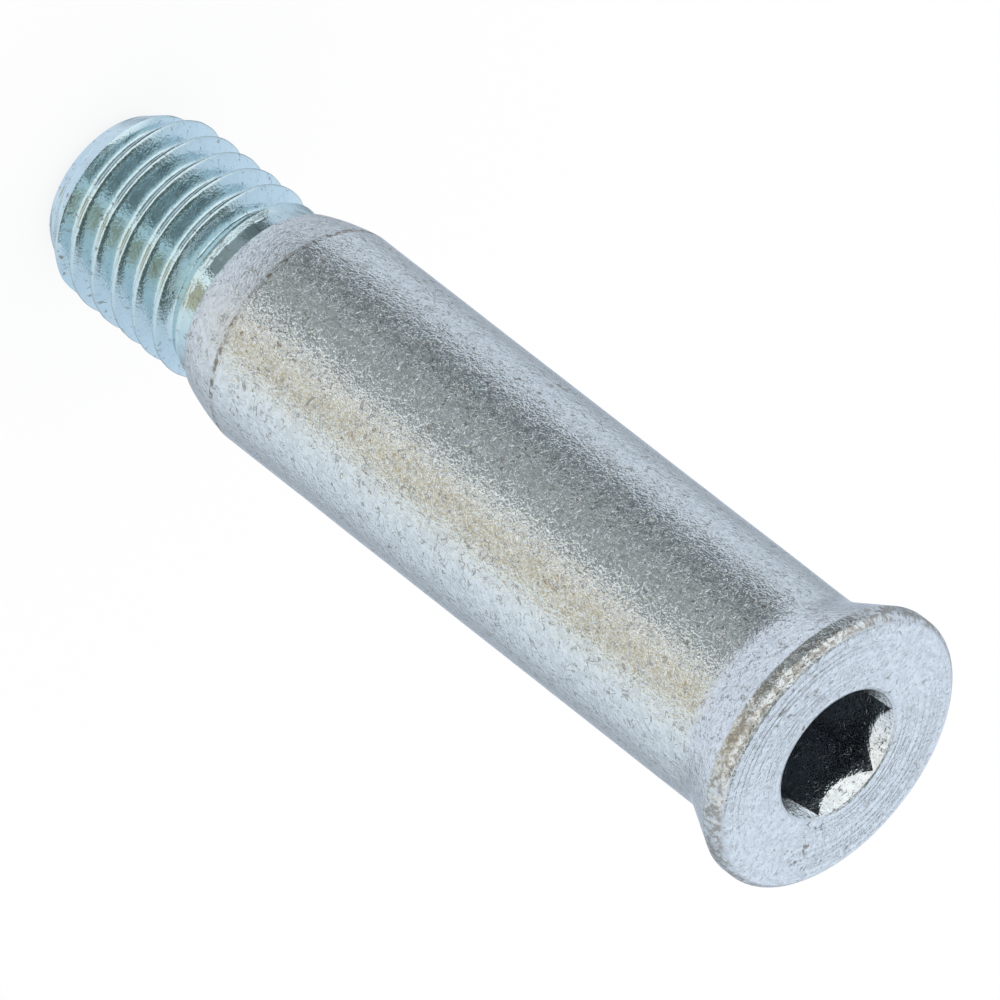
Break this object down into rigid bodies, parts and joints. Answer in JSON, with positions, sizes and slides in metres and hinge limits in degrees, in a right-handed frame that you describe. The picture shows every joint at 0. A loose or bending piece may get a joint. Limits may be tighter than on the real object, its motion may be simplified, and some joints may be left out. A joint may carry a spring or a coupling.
{
  "type": "shoulder bolt",
  "caption": "Shoulder bolt with a plain cylindrical shoulder, a flared flat head with a hexagon socket, and a short right-hand thread below a narrow neck.",
  "frame": {"origin": "centre of the threaded end's flat face, on which the bolt stands", "axes": "+Z along the bolt's axis, from the threaded end to the head; +Y through a corner of the hexagon socket"},
  "size_m": [0.01, 0.01, 0.0345],
  "materials": {
    "zinc_plated_steel": "bright zinc plate with a faint blue tint, lightly scratched and speckled, brownish where worn at the head's rim"
  },
  "bodies": {
    "root": {"shoulder_bolt": "zinc_plated_steel"}
  },
  "joints": []
}
